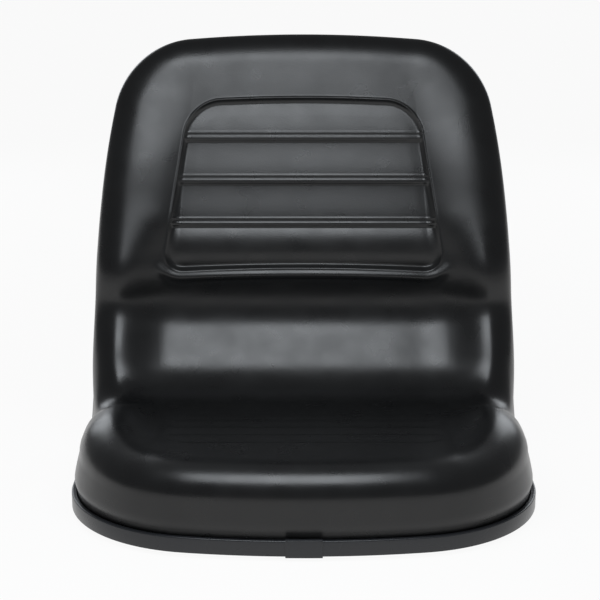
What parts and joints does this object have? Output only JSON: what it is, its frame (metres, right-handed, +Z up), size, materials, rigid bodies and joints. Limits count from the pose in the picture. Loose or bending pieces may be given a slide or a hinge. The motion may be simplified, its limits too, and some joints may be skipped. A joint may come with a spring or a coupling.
{
  "type": "ride on mower seat",
  "caption": "One-piece bucket seat for a ride on mower: moulded vinyl foam cushion with ribbed inserts on a pressed steel pan, with plastic edge trim and bolt points underneath.",
  "frame": {"origin": "centre of the four bolt holes, on the plane of the pan's mounting bosses", "axes": "+X across the seat to the right as seen from the front, +Y to the rear (the sitter faces -Y), +Z up"},
  "size_m": [0.47, 0.4594, 0.4448],
  "materials": {
    "vinyl": "satin black vinyl skin with a fine grain",
    "painted_steel": "satin black paint",
    "trim_plastic": "semi-matt black",
    "zinc_steel": "zinc plated"
  },
  "bodies": {
    "root": {"cushion": "vinyl", "seat_pan": "painted_steel", "edge_trim": "trim_plastic", "trim_joiner": "trim_plastic", "weld_nuts": "zinc_steel"}
  },
  "joints": []
}
